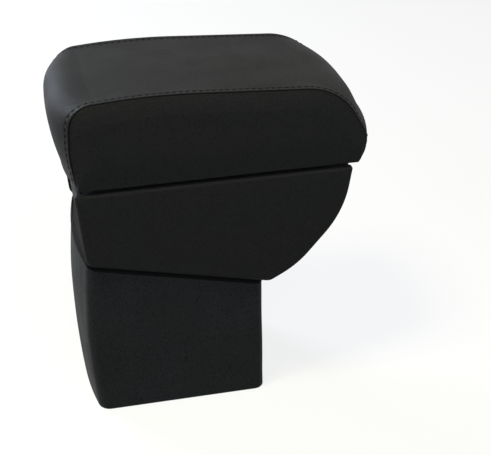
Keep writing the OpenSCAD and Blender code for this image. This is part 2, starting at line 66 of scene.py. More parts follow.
# Side outlines: x, z and corner radius, clockwise seen from the right side
LID_OUTLINE = (
    (0, 0, 3),
    (-4.6, 29.6, 128),
    (-1.8, 75.7, 22),
    (64.9, 81, 600),
    (227.5, 70.7, 50),
    (259.4, 15, 25),
    (244.2, 0, 2.4),
)
BOX_OUTLINE = (
    (1.9, -71.5, 9),
    (-4, -3, 2.5),
    (241, -3, 2.5),
    (233.3, -46.7, 93),
    (190.3, -95.2, 86),
    (164.7, -108.6, 10),
)
LID_LENGTH = 240.5  # flat underside, from the heel to the front edge
LID_MIDDLE = (118, 0, 38)  # a place inside the lid
SEAM_Y = 74.7  # half width between the lid's seams
SIDE_Y = 77.5  # half width of the lid's solid
UNDER_Y = 74.9  # half width of the lid's flat underside
END_BULGE = 14.4  # how far the padded ends stand out in their middle
FADE = 29.0  # height over which the side's roll grows to its full width
SIDE_ROLL = 15.0  # width of the roll below the seam
SIDE_RISE = 4.8  # how far the padded side stands out beyond the seam
SIDE_REACH = 20.0  # distance from the seam where it stands out that far
LIP = 0.5  # step from the strip over the top to the side panel
HIDE = 1.2  # thickness of the leatherette
BOX_Y = 78.2  # half width over the box's side panels
INNER_Y = 71.5  # half width of the box's wrap and of the column
COVER_DEPTH = 2.0  # how far the wrap lies inside the side panels' outline
COVER_TOP = -4.7  # where the wrap ends at the rear, below the lid
FRONT_TOP = -3.1  # and at the front
COLUMN_REAR = 0.0  # x of the column's rear face
COLUMN_FRONT = 160.0  # and of its front face
COLUMN_WAIST = 4.8  # how far the column's rear lies further in at its top and foot
COLUMN_BULGE = 7.3  # how far the column's rear is rounded outward across its width
COLUMN_EDGE = 9.0  # radius of the column's corners
FOOT_X = 78.0  # x of the foot's middle
SEAT_H = 228.0  # height of the lid's underside over the foot plate's underside
MAT_SEAT = 10.2  # from the side panels' lower outline to the mat, square to the sloping floor
FLOOR_SLOPE = (BOX_OUTLINE[5][1] - BOX_OUTLINE[0][1]) / (BOX_OUTLINE[5][0] - BOX_OUTLINE[0][0])
FLOOR_RISE = math.sqrt(1 + FLOOR_SLOPE**2)  # length along the sloping floor per length along x
SIDES = ((1, "left"), (-1, "right"))


# Geometry helpers


def metres(points):
    """Places drawn in millimetres from the heel, in metres in the frame of the armrest."""
    return np.asarray(points, float) * 0.001 + np.array(HEEL)


def smooth(t):
    """A soft step from 0 at t = 0 to 1 at t = 1."""
    s = np.clip(t, 0, 1)
    return s * s * (3 - 2 * s)


def unit(rows):
    """The rows scaled to length 1."""
    return rows / np.linalg.norm(rows, axis=1)[:, None]


def rounded(corners, spacing):
    """Points of a closed outline with rounded corners, as rows of x, z and the outward normal."""
    c = np.array(corners, float)
    arcs = []
    for i in range(len(c)):
        p, r = c[i, :2], c[i, 2]
        back, ahead = c[i - 1, :2] - p, c[(i + 1) % len(c), :2] - p
        reach = min(np.linalg.norm(back), np.linalg.norm(ahead))
        a, b = back / np.linalg.norm(back), ahead / np.linalg.norm(ahead)
        half = math.acos(a @ b) / 2
        r = min(r, 0.98 * reach * math.tan(half))
        centre = p + (a + b) / np.linalg.norm(a + b) * r / math.sin(half)
        first = p + a * r / math.tan(half) - centre
        sweep = math.pi - 2 * half
        steps = max(4, math.ceil(r * sweep / spacing))
        t = math.atan2(first[1], first[0]) - sweep * np.arange(steps + 1) / steps
        x, z = np.cos(t), np.sin(t)
        arcs.append(np.column_stack([centre[0] + r * x, centre[1] + r * z, x, z]))
    points = np.vstack(arcs)
    filled = []
    for p, q in zip(points, np.roll(points, -1, axis=0)):
        n = max(1, math.ceil(np.linalg.norm(q[:2] - p[:2]) / spacing))
        filled.extend(p + (q - p) * k / n for k in range(n))
    filled = np.array(filled)
    filled[:, 2:] = unit(filled[:, 2:])
    return filled


def inset(corners, depth):
    """The same corners moved inward by depth."""
    c = np.array(corners, float)
    out = []
    for i in range(len(c)):
        p = c[i, :2]
        a, b = c[i - 1, :2] - p, c[(i + 1) % len(c), :2] - p
        a, b = a / np.linalg.norm(a), b / np.linalg.norm(b)
        half = math.acos(a @ b) / 2
        q = p + (a + b) / np.linalg.norm(a + b) * depth / math.sin(half)
        out.append((q[0], q[1], max(c[i, 2] - depth, 0.3)))
    return out


def kept_run(loop, keep):
    """The one run of a closed outline's points that is kept, from its start to its end."""
    start = int(np.flatnonzero(keep & ~np.roll(keep, 1))[0])
    return np.roll(loop, -start, axis=0)[: int(keep.sum())]


def shifted(outline, y, out):
    """Points at width y, moved outward from an outline."""
    x, z, nx, nz = outline.T
    return np.column_stack([x + out * nx, np.broadcast_to(y, x.shape), z + out * nz])


def rows_between(half, reach):
    """Widths of the rows of points from -half to half, at given distances from both ends."""
    reach = np.array(reach)
    return np.concatenate([reach - half, [0.0], (half - reach)[::-1]])


def box_floor(x):
    """Height of the box's sloping floor at x, on its side panels' outline."""
    return BOX_OUTLINE[0][1] + (x - BOX_OUTLINE[0][0]) * FLOOR_SLOPE


def from_line(points, line):
    """Distance of each point from a line of points, seen from the side."""
    return np.linalg.norm(points[:, None, ::2] - line[None, ::3, ::2], axis=2).min(1)


def along(points):
    """Distance of each point from the first, measured along the line."""
    steps = np.linalg.norm(np.diff(points, axis=0), axis=1)
    return np.concatenate([[0], np.cumsum(steps)])


def quads(rows, cols, closed=False):
    """Faces between rows of points, each row closed on itself or open."""
    r, c = np.meshgrid(np.arange(rows - 1), np.arange(cols if closed else cols - 1), indexing="ij")
    r, c = r.ravel(), c.ravel()
    d = (c + 1) % cols
    return np.column_stack([r * cols + c, r * cols + d, (r + 1) * cols + d, (r + 1) * cols + c])


def face_grid(rows, closed=False):
    """Points and faces of rows of points."""
    grid = np.array(rows)
    return grid.reshape(-1, 3), quads(*grid.shape[:2], closed=closed)


def closed_off(rings):
    """Points and faces of a row of rings that ends in a fan round its middle."""
    points, faces = face_grid(rings, closed=True)
    n, end = len(rings[0]), len(points)
    fan = [[end - n + k, end - n + (k + 1) % n, end] for k in range(n)]
    return np.vstack([points, rings[-1].mean(0)]), faces.tolist() + fan


def capped(rings):
    """Points and faces of a row of rings with one face over each end."""
    points, faces = face_grid(rings, closed=True)
    n = len(rings[0])
    return points, [*faces.tolist(), list(range(n)), list(range(len(points) - n, len(points)))]


def corner_arcs(rear, front, half, radius, count):
    """The four corners of a level rectangle, each as an arc of points over a quarter turn."""
    x, y = (rear + radius, front - radius), half - radius
    middles = ((x[1], -y), (x[1], y), (x[0], y), (x[0], -y))
    arcs = []
    for quarter, middle in enumerate(middles, -1):
        t = np.radians(90 * quarter + np.linspace(0, 90, count))
        arcs.append(np.array(middle) + radius * np.column_stack([np.cos(t), np.sin(t)]))
    return arcs


def seam_curl(distance, width, depth):
    """How deep a covering rolls down into its seam at each distance from it."""
    t = np.clip(1 - np.asarray(distance) / width, 0, 1)
    return depth * (1 - np.sqrt(1 - t * t))


def uneven(points, size, height, seed):
    """Soft hand-made unevenness: smooth noise of a given size and height at each point."""
    offset = Vector((seed * 3.7, seed * 1.3, seed * 2.9))
    return np.array([noise.noise(Vector(p) / size + offset) * height for p in points])


def make_piece(
    name, points, faces, body, inside=None, thickness=0, slot="black_leatherette", finish=None
):
    """A smooth piece from points in millimetres, riding on its body, with the finish of its slot
    where no other is given. An open skin faces away from the point inside, and gets its thickness
    in millimetres inward from the modelled face."""
    mesh = bpy.data.meshes.new(name)
    mesh.from_pydata(metres(points).tolist(), [], [list(map(int, f)) for f in faces])
    work = bmesh.new()
    work.from_mesh(mesh)
    bmesh.ops.remove_doubles(work, verts=work.verts, dist=1e-6)
    bmesh.ops.dissolve_degenerate(work, edges=work.edges, dist=1e-7)
    bmesh.ops.recalc_face_normals(work, faces=work.faces)
    if inside is not None:
        middle = Vector(metres(inside))
        out = sum(f.calc_area() * f.normal.dot(f.calc_center_median() - middle) for f in work.faces)
        if out < 0:
            bmesh.ops.reverse_faces(work, faces=work.faces)
    for face in work.faces:
        face.smooth = True
    work.to_mesh(mesh)
    work.free()
    mesh.materials.append(material_for(finish or slot))
    piece = bpy.data.objects.new(name, mesh)
    bpy.context.scene.collection.objects.link(piece)
    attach(piece, body)
    if thickness:
        shell = piece.modifiers.new("thickness", "SOLIDIFY")
        shell.thickness = thickness * 0.001
        shell.offset = -1
        shell.use_rim = True
        shell.use_quality_normals = True
    return piece


def make_pair(name, points, faces, *rest, **finish):
    """A piece on the left and its mirror image on the right, each with the word for its side."""
    pair = []
    for side, word in SIDES:
        turned = points * np.array([1, side, 1])
        pair.append((make_piece(f"{name}_{word}", turned, faces, *rest, **finish), word))
    return pair


# Lid


def off_heel(z):
    """0 at the lid's lower edge, where seams and panels lie flat, and 1 from 11 mm up."""
    return smooth((z - 3) / 8)


def lid_point(path, y, lift=0.0):
    """Lid surface at width y. Its padded ends bulge most in the middle, and lift is outward."""
    z, nx = path[:, 1], path[:, 2]
    full = smooth(z / 6) * (0.6 + 0.4 * smooth(z / 55))
    bulge = END_BULGE * nx**2 * (1 - np.minimum(np.abs(y) / SEAM_Y, 1) ** 3.25) * full
    return shifted(path, y, bulge + lift)


def side_tilt(path, u):
    """How far the side's surface faces across and up at share u of its roll."""
    share = SIDE_ROLL / SIDE_REACH
    across = SIDE_ROLL * smooth(path[:, 1] / FADE) + 1e-6
    up = 2 * SIDE_RISE * low_share(path[:, 1]) * share * (1 - share * u)
    length = np.hypot(across, up)
    return across / length, up / length


def low_share(z):
    """The side's padding is thinner towards the lid's lower edge."""
    return 0.5 + 0.5 * smooth(z / 28)


def side_swell(distance, z):
    """How far the padded side stands out at a distance below the seam and a height."""
    return SIDE_RISE * low_share(z) * (1 - (1 - np.minimum(distance / SIDE_REACH, 1)) ** 2)


def side_point(path, u, lift=0.0):
    """Lid surface beyond the seam: u runs from 0 at the seam to 1 at SIDE_ROLL below it."""
    x, z, nx, nz = path.T
    across, up = side_tilt(path, u)
    drop = SIDE_ROLL * smooth(z / FADE) * u - lift * up
    y = SEAM_Y + LIP + side_swell(SIDE_ROLL * u, z) + lift * across
    return np.column_stack([x - drop * nx, y, z - drop * nz])


def beside_seam(path, out, sunk, lift=0.0):
    """Points at a distance outward of the seam and at a depth below the lid's outline."""
    return shifted(path, SEAM_Y + out, lift - sunk * off_heel(path[:, 1]))


def under_edge(points, radius=4.2):
    """Rounds the lid's lower side edge by limiting y near the underside."""
    z = np.clip(points[:, 2], 0, radius)
    limit = UNDER_Y + np.sqrt(np.maximum(radius**2 - (radius - z) ** 2, 0))
    low = points[:, 2] < radius
    points[low, 1] = np.minimum(points[low, 1], limit[low])
    return points


class Padding:
    """The lid's foam, swollen by a cloth simulation, and what it tells about the covering."""

    tree = None
    rise = None

    def lift(self, points, z, reach=7.0):
        """How far the covering stands out over the plain form at each point, in millimetres. z is
        each point's height over the lid's lower edge, towards which the padding fades out."""
        out = np.empty(len(points))
        for i, p in enumerate(points):
            near = self.tree.find_n(Vector((p[0], abs(p[1]), p[2])), 14)
            w = [math.exp(-((d / reach) ** 2)) + 1e-9 for _, _, d in near]
            out[i] = sum(wi * self.rise[k] for wi, (_, k, _) in zip(w, near)) / sum(w)
        return out * smooth(z / 12)


PADDING = Padding()


def top_lift(path, y):
    """How far the strip over the lid's top stands out over the plain form at width y."""
    base, z = lid_point(path, y), path[:, 1]
    waves = uneven(base, 38.0, 0.35, 2) * off_heel(z) * smooth((SEAM_Y - abs(y)) / 14)
    return PADDING.lift(base, z) + waves


def cushion_form(shrink):
    """Closed form of the lid in loops from heel to heel: its points, outward directions, faces,
    and which points are sewn or glued down."""
    count, across = 64, 25
    path = rounded(LID_OUTLINE, 1.0)
    path = path[path[:, 1] > 1.5]
    start = int(np.argmax(np.linalg.norm(path[:, :2] - np.roll(path[:, :2], 1, axis=0), axis=1)))
    path = np.roll(path, -start, axis=0)
    s = along(path[:, :2])
    stations = np.linspace(0, s[-1], count)
    arch = np.column_stack([np.interp(stations, s, path[:, k]) for k in range(4)])
    arch[:, 2:] = unit(arch[:, 2:])
    floor = np.linspace(2, LID_LENGTH - 2, count)
    rows, normals, held = [], [], []

    def add(points, directions, fixed):
        """Adds one loop from heel to heel."""
        rows.append(points)
        normals.append(np.broadcast_to(directions, (count, 3)))
        held.append(np.full(count, fixed))

    def level(y):
        """A straight loop over the lid's board at width y."""
        return np.column_stack([floor, np.full(count, y), np.full(count, 1.4)])

    up = np.column_stack([arch[:, 2], np.zeros(count), arch[:, 3]])
    for y in np.linspace(-SEAM_Y, SEAM_Y, across):
        seam = abs(abs(y) - SEAM_Y) < 0.1
        add(lid_point(arch, y, 0 if seam else -shrink), up, seam)
    face = side_point(arch, 1, -shrink)
    edge = SIDE_Y - 2 - shrink
    right = []
    for u in (0.12, 0.45, 1.0):
        out, rising = side_tilt(arch, u)
        facing = up * rising[:, None] + np.array([0, 1, 0]) * out[:, None]
        right.append((side_point(arch, u, -shrink), facing, False))
    for f in np.linspace(0, 1, 9)[1:]:
        right.append((face + (level(edge) - face) * f, np.array([0, 1.0, 0]), f == 1))
    mirror = np.array([1, -1, 1])
    for p, n, fixed in right:
        add(p, n, fixed)
    for y in np.linspace(edge, -edge, across)[1:-1]:
        add(level(y), np.array([0, 0, -1.0]), True)
    for p, n, fixed in reversed(right):
        add(p * mirror, n * mirror, fixed)
    points = np.array(rows).transpose(1, 0, 2)
    directions = np.array(normals).transpose(1, 0, 2)
    fixed = np.array(held).T
    fixed[0] = fixed[-1] = True
    points, faces = capped(points)
    return points, directions.reshape(-1, 3), faces, fixed.ravel()


def inflate(piece, fixed, pressure, frames):
    """Runs the cloth simulation on the piece and returns where its points end, in metres."""
    group = piece.vertex_groups.new(name="sewn")
    group.add([int(i) for i in np.flatnonzero(fixed)], 1.0, "REPLACE")
    cloth = piece.modifiers.new("cloth", "CLOTH")
    cloth.point_cache.frame_start, cloth.point_cache.frame_end = 1, frames
    settings = cloth.settings
    settings.quality = 6
    settings.mass = 0.25
    settings.tension_stiffness = settings.compression_stiffness = 20
    settings.shear_stiffness = 12
    settings.bending_stiffness = 1.5
    settings.use_pressure = True
    settings.uniform_pressure_force = pressure
    settings.effector_weights.gravity = 0
    settings.vertex_group_mass = "sewn"
    cloth.collision_settings.use_collision = False
    scene = bpy.context.scene
    for number in range(1, frames + 1):
        scene.frame_set(number)
    swollen = piece.evaluated_get(bpy.context.evaluated_depsgraph_get())
    at = np.array([v.co for v in swollen.data.vertices], float)
    piece.modifiers.remove(cloth)
    scene.frame_set(1)
    return at


# Materials


def linear(code):
    """Linear colour of an sRGB hex value."""
    parts = [int(code[i : i + 2], 16) / 255 for i in (1, 3, 5)]
    parts = [c / 12.92 if c <= 0.04045 else ((c + 0.055) / 1.055) ** 2.4 for c in parts]
    return (*parts, 1.0)


def node(tree, kind, inputs=None, **settings):
    """Adds a node with its settings. Its inputs are values, or the sockets to link to them."""
    made = tree.nodes.new(kind)
    for key, value in settings.items():
        setattr(made, key, value)
    for key, value in (inputs or {}).items():
        if isinstance(value, bpy.types.NodeSocket):
            tree.links.new(value, made.inputs[key])
        else:
            made.inputs[key].default_value = value
    return made


def finish_of(name, **constants):
    """A new material whose Principled shader has its constants set on its sockets, with its node
    tree and the socket that gives a point's place on the object."""
    material = bpy.data.materials.new(name)
    material.use_nodes = True
    tree = material.node_tree
    for key, value in constants.items():
        tree.nodes["Principled BSDF"].inputs[key.replace("_", " ")].default_value = value
    return material, tree, node(tree, "ShaderNodeTexCoord").outputs["Object"]


def surface(material, tint, colours, relief, rough=None):
    """Completes a finish: two colours that follow tint, a bump from relief, which is a pattern with
    its strength and its depth in metres, and a roughness that follows a pattern."""
    tree = material.node_tree
    shader = tree.nodes["Principled BSDF"]
    first, second = (linear(c) if isinstance(c, str) else c for c in colours)
    mix = {"Factor": tint, "A": first, "B": second}
    shade = node(tree, "ShaderNodeMix", mix, data_type="RGBA").outputs["Result"]
    tree.links.new(shade, shader.inputs["Base Color"])
    if rough:
        ends = {"From Min": 0.3, "From Max": 0.7, "To Min": rough[1], "To Max": rough[2]}
        satin = node(tree, "ShaderNodeMapRange", {"Value": rough[0], **ends})
        tree.links.new(satin.outputs[0], shader.inputs["Roughness"])
    bump = node(tree, "ShaderNodeBump", dict(zip(("Height", "Strength", "Distance"), relief)))
    tree.links.new(bump.outputs[0], shader.inputs["Normal"])
    return material


def grained(name, grain, colours, bump, **constants):
    """A finish whose two colours and bump both follow one fine even noise."""
    material, tree, place = finish_of(name, **constants)
    pattern = node(tree, "ShaderNodeTexNoise", {"Vector": place, **grain}).outputs["Fac"]
    return surface(material, pattern, colours, (pattern, *bump))


def leatherette(look, name, colour):
    """Black PVC leatherette, calendered on knitted cloth with an embossed pebble grain. The grain
    breaks the gloss into a soft satin sheen, and the roughness varies a little in broad clouds."""
    material, tree, place = finish_of(name, IOR=1.5, Specular_IOR_Level=look.gloss)
    # Pebbles of the grain are about 1.1 mm across, drawn at 1.4 mm so that they show
    wander = node(tree, "ShaderNodeTexNoise", {"Vector": place, "Scale": 420.0, "Detail": 2.0})
    far = {0: wander.outputs["Color"], 1: (0.0006, 0.0006, 0.0006)}
    moved = node(tree, "ShaderNodeVectorMath", far, operation="MULTIPLY").outputs[0]
    bent = node(tree, "ShaderNodeVectorMath", {0: place, 1: moved}, operation="ADD").outputs[0]
    size = {"Vector": bent, "Scale": 1 / look.grain}
    cells = node(tree, "ShaderNodeTexVoronoi", size, feature="DISTANCE_TO_EDGE")
    edge = {"Value": cells.outputs["Distance"], "From Min": 0.0, "From Max": 0.22}
    pebbles = node(tree, "ShaderNodeMapRange", edge, interpolation_type="SMOOTHSTEP").outputs[0]
    # Fine pores of about 0.3 mm between and on the pebbles
    pores = node(tree, "ShaderNodeTexNoise", {"Vector": place, "Scale": 3300.0, "Detail": 2.0})
    fine = {0: pores.outputs["Fac"], 1: 0.35, 2: pebbles}
    height = node(tree, "ShaderNodeMath", fine, operation="MULTIPLY_ADD").outputs[0]
    # Cloudy differences over 50 mm, as handling and the foam below leave them
    size = {"Vector": place, "Scale": 20.0, "Detail": 3.0}
    clouds = node(tree, "ShaderNodeTexNoise", size).outputs["Fac"]
    mix = {"Factor": clouds, "A": colour[:] + (1.0,), "B": linear("#20201f")}
    tint = node(tree, "ShaderNodeMix", mix, data_type="RGBA").outputs["Result"]
    relief, rough = (height, 0.8, 0.0002), (clouds, 0.5, 0.62)
    return surface(material, pebbles, ("#0f0f10", tint), relief, rough)


def thread():
    """Bonded polyester sewing thread, three plies twisted: a dull black cord whose plies show as
    slanting lines."""
    dull = {"Roughness": 0.8, "IOR": 1.5, "Specular_IOR_Level": 0.08}
    material, tree, place = finish_of("polyester_thread_twisted", **dull)
    # One ply turns about every 0.7 mm along the thread
    turns = {"Vector": place, "Scale": 450.0, "Distortion": 0.6}
    plies = node(tree, "ShaderNodeTexWave", turns, bands_direction="DIAGONAL").outputs["Fac"]
    return surface(material, plies, ("#050505", "#121212"), (plies, 0.5, 0.0001))


def binding():
    """Woven polyester seam binding, dyed black: dead matt, with a rib that hardly shows. Its
    near-black is painted shade, laid where seams and gaps show only shade.
    """
    matt = {"Roughness": 1.0, "IOR": 1.5, "Specular_IOR_Level": 0.08}
    # Ribs are about 0.5 mm apart
    ribs = {"Scale": 2000.0, "Detail": 1.0}
    # Near black as painted shade, so that it reads as the shade in a seam or gap
    name = "polyester_binding_woven_shade"
    return grained(name, ribs, ("#050505", "#0e0e0f"), (0.3, 0.0001), **matt)


def moulding():
    """Black ABS, injection moulded in a spark-eroded tool: an even fine matt texture with slightly
    shinier spots."""
    material, tree, place = finish_of("abs_moulded_fine_texture", IOR=1.52)
    # The eroded texture is about 0.25 mm, drawn at 0.5 mm so that it shows
    size = {"Vector": place, "Scale": 2000.0, "Detail": 2.0}
    grit = node(tree, "ShaderNodeTexNoise", size).outputs["Fac"]
    size = {"Vector": place, "Scale": 35.0, "Detail": 2.0}
    clouds = node(tree, "ShaderNodeTexNoise", size).outputs["Fac"]
    relief, rough = (grit, 0.35, 0.00008), (grit, 0.42, 0.58)
    return surface(material, clouds, ("#232325", "#2d2d2f"), relief, rough)


def plated_steel():
    """Cold-rolled steel with bright zinc plating: fine rolling lines, a cool grey and a faint
    cloudiness where the plating is thicker."""
    material, tree, place = finish_of("steel_zinc_plated", Metallic=1.0)
    # Rolling lines about 0.4 mm apart, running along Y
    drawn = node(tree, "ShaderNodeMapping", {"Vector": place, "Scale": (2500.0, 60.0, 2500.0)})
    size = {"Vector": drawn.outputs[0], "Scale": 1.0, "Detail": 3.0}
    lines = node(tree, "ShaderNodeTexNoise", size).outputs["Fac"]
    size = {"Vector": place, "Scale": 120.0, "Detail": 2.0}
    clouds = node(tree, "ShaderNodeTexNoise", size).outputs["Fac"]
    relief, rough = (lines, 0.2, 0.00003), (lines, 0.28, 0.44)
    return surface(material, clouds, ("#9b9ea3", "#bcbec2"), relief, rough)


def coated_steel():
    """Steel plate with black powder coating: an even satin black with the faint orange peel that
    the powder leaves as it flows."""
    # Orange peel has waves of about 2 mm
    peel = {"Scale": 500.0, "Detail": 1.0}
    name, colours = "steel_powder_coated", ("#1d1d1f", "#28282a")
    return grained(name, peel, colours, (0.3, 0.0001), Roughness=0.42, IOR=1.5)


def plywood():
    """Birch plywood, rotary cut and sanded: pale yellow wood with long soft grain lines."""
    material, tree, place = finish_of("birch_plywood_sanded", Roughness=0.62, IOR=1.5)
    # Grain lines are about 3 mm apart and 80 mm long
    cut = node(tree, "ShaderNodeMapping", {"Vector": place, "Scale": (12.0, 330.0, 330.0)})
    size = {"Vector": cut.outputs[0], "Scale": 1.0, "Detail": 4.0, "Distortion": 0.6}
    grain = node(tree, "ShaderNodeTexNoise", size).outputs["Fac"]
    return surface(material, grain, ("#a98456", "#d3b384"), (grain, 0.2, 0.0001))


def foam():
    """Flexible polyurethane foam, moulded: a yellowish open-celled block with a thin skin."""
    material, tree, place = finish_of("polyurethane_foam_moulded", Roughness=0.9, IOR=1.45)
    # Cells are about 0.6 mm, drawn at 1.2 mm so that they show
    size = {"Vector": place, "Scale": 830.0}
    cells = node(tree, "ShaderNodeTexVoronoi", size).outputs["Distance"]
    return surface(material, cells, ("#e0d6ad", "#b9ab78"), (cells, 0.5, 0.0003))


def felt():
    """Needle-punched polyester felt: matt dark grey, with fibres that catch a little light."""
    matt = {"Roughness": 0.95, "IOR": 1.5, "Sheen_Weight": 0.35, "Sheen_Roughness": 0.5}
    # Fibre tufts are about 1.5 mm long
    fibres = {"Scale": 1300.0, "Detail": 5.0, "Distortion": 1.8}
    name = "polyester_felt_needled"
    return grained(name, fibres, ("#252527", "#4a4a4d"), (0.8, 0.0005), **matt)


def ferrite():
    """Sintered ferrite, ground flat: dark grey, dull, with a sandy grain."""
    # Grain of about 0.5 mm
    grain = {"Scale": 2000.0, "Detail": 3.0}
    name, colours = "ferrite_sintered", ("#313235", "#4a4b4e")
    return grained(name, grain, colours, (0.4, 0.0001), Roughness=0.7, Metallic=0.2)


def rubber():
    """EPDM rubber, moulded: deep black, dull, with a dusty bloom in broad patches."""
    # Bloom in patches of about 4 mm
    bloom = {"Scale": 250.0, "Detail": 3.0}
    name, colours = "rubber_epdm_moulded", ("#161617", "#28282a")
    return grained(name, bloom, colours, (0.2, 0.0001), Roughness=0.8, IOR=1.5)


MADE = {}


def material_for(slot):
    """The material of a slot, made once."""
    look = bpy.context.scene.armrest_leatherette
    pvc = "leatherette_pvc_embossed"
    makers = {
        "black_leatherette": lambda: leatherette(look, pvc, look.colour),
        # The sleeve gets a lighter copy of the leatherette, as painted light
        "sleeve_leatherette_lit": lambda: leatherette(look, pvc + "_sleeve", look.sleeve_lit_colour),
        "thread": thread,
        "binding": binding,
        "black_moulding": moulding,
        "zinc_plated_steel": plated_steel,
        "black_steel": coated_steel,
        "plywood": plywood,
        "moulded_foam": foam,
        "grey_felt": felt,
        "ferrite": ferrite,
        "black_rubber": rubber,
    }
    if slot not in makers:
        raise RuntimeError(f"no material is written for slot {slot}")
    if slot not in MADE:
        MADE[slot] = makers[slot]()
    return MADE[slot]


# Settings


def colour_setting(name, description, code):
    """A colour, whose default is a hex value."""
    colour = {"subtype": "COLOR", "size": 3, "min": 0, "max": 1, "default": linear(code)[:3]}
    return FloatVectorProperty(name=name, description=description, **colour)


def number_setting(name, description, default, low, high, **kind):
    """A number with its default, its least and its usual highest value."""
    limits = {"default": default, "min": low, "soft_max": high}
    return FloatProperty(name=name, description=description, **limits, **kind)


def length_setting(*about):
    """A length in metres, given as a number is."""
    return number_setting(*about, unit="LENGTH", subtype="DISTANCE", precision=5)


class LeatheretteSettings(bpy.types.PropertyGroup):
    """Looks of the covering"""

    colour: colour_setting("Colour", "Colour of the leatherette on its pebbles", "#1a1b1c")
    # Painted light: the sleeve is the box's leatherette made lighter and bluer, for the light that
    # the column catches
    sleeve_lit_colour: colour_setting(
        "Sleeve colour", "Colour of the column's sleeve, which is a little bluer", "#282b2f"
    )
    grain: length_setting(
        "Grain", "Width of one pebble of the embossed grain", 0.0014, 0.0004, 0.004
    )
    gloss: number_setting(
        "Gloss", "Specular level of the leatherette", 0.06, 0, 1, max=1, subtype="FACTOR"
    )


class LidSettings(bpy.types.PropertyGroup):
    """Sewing and padding of the lid"""

    pressure: number_setting("Pressure", "Pressure of the foam in the cloth simulation", 4.0, 0, 20)
    frames: IntProperty(
        name="Frames", description="Frames that the simulation runs", min=2, max=60, default=20
    )
    swell: length_setting(
        "Swell", "How far the padding may stand over its plain form", 0.0016, 0, 0.005
    )
    seam_width: length_setting(
        "Seam roll", "Width over which the strip rolls down into the seam", 0.0032, 0.0005, 0.004
    )
    seam_depth: length_setting(
        "Seam depth", "Depth of the seam between two panels", 0.003, 0.0005, 0.004
    )
    stitch_offset: length_setting(
        "Stitch offset", "Distance of the top-stitching from the seam", 0.0066, 0.002, 0.015
    )
    stitch_pitch: length_setting(
        "Stitch pitch", "Distance from one stitch to the next", 0.0056, 0.002, 0.01
    )
    stitch_length: length_setting(
        "Stitch length", "Visible length of one stitch", 0.0031, 0.001, 0.008
    )


class StudioSettings(bpy.types.PropertyGroup):
    """Light and floor"""

    floor_colour: colour_setting("Floor", "Colour of the floor where it is seen", "#f2f2f0")
    bounce_colour: colour_setting(
        "Bounce", "Colour of the light that the floor throws back onto the armrest", "#7a7a79"
    )
    sky_level: number_setting("Room light", "Strength of the even light from all round", 0.05, 0, 2)
    key_power: number_setting(
        "Key light", "Power of the large overhead lamp", 21.0, 0, 200, unit="POWER"
    )


# Operators


class ARMREST_OT_lid_padding(bpy.types.Operator):
    """Foam padding of the lid, swollen by a cloth simulation"""

    bl_idname = "armrest.lid_padding"
    bl_label = "Lid padding"

    def execute(self, context):
        look = context.scene.armrest_lid
        swell = look.swell * 1000
        points, outward, faces, fixed = cushion_form(shrink=1.4)
        mesh = bpy.data.meshes.new("lid_padding")
        mesh.from_pydata((points * 0.001).tolist(), [], [list(map(int, f)) for f in faces])
        work = bmesh.new()
        work.from_mesh(mesh)
        bmesh.ops.recalc_face_normals(work, faces=work.faces)
        for face in work.faces:
            face.smooth = True
        work.to_mesh(mesh)
        work.free()
        piece = bpy.data.objects.new("lid_padding", mesh)
        context.scene.collection.objects.link(piece)
        ends = inflate(piece, fixed, look.pressure, look.frames) * 1000
        rise = ((ends - points) * outward).sum(1)
        # The covering may rise by no more than swell
        rise = swell * np.tanh(np.maximum(rise, 0) / (2.5 * swell))
        upper = points[:, 1] > -0.1
        PADDING.tree = KDTree(int(upper.sum()))
        for k, p in zip(np.flatnonzero(upper), points[upper]):
            PADDING.tree.insert(Vector(p), int(k))
        PADDING.tree.balance()
        # Away from the seam the covering lies a little lower, so that the lid's height holds
        settled = 0.45 * swell
        away = smooth((SEAM_Y - np.abs(points[:, 1])) / 10)
        PADDING.rise = rise - settled * away
        # The foam lies against the inner face of the covering and on the lid's board
        inner = points + outward * (rise - settled - 0.5)[:, None]
        inner[:, 2] = np.maximum(inner[:, 2], 1.35)
        board_top, board_half = 9.4, 67
        over_board = (np.abs(inner[:, 1]) < board_half) & (inner[:, 2] < board_top)
        over_board &= (inner[:, 0] > BOARD_INSET) & (inner[:, 0] < LID_LENGTH - BOARD_INSET)
        inner[over_board, 2] = board_top
        for v, p in zip(mesh.vertices, metres(inner)):
            v.co = p
        mesh.materials.append(material_for("moulded_foam"))
        smoother = piece.modifiers.new("smooth", "SUBSURF")
        smoother.levels = smoother.render_levels = 1
        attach(piece, "lid")
        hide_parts("lid_foam")
        return {"FINISHED"}


def open_lid_path(spacing, turn_in=26.0):
    """The lid's outline from its turned-in rear edge over the top to the turned-in front edge."""
    path = rounded(LID_OUTLINE, spacing)
    flat = (np.abs(path[:, 1]) < 1e-6) & (path[:, 0] > turn_in)
    return kept_run(path, ~(flat & (path[:, 0] < LID_LENGTH - turn_in)))


def stitch_spots(path, look):
    """Arc lengths of the stitches' middles along the path."""
    s = along(path[:, :2])
    high = np.flatnonzero(path[:, 1] > 7)
    first, last = s[high[0]], s[high[-1]]
    count = int((last - first) / (look.stitch_pitch * 1000))
    pitch = (last - first) / count
    return first + pitch * (np.arange(count) + 0.5), pitch


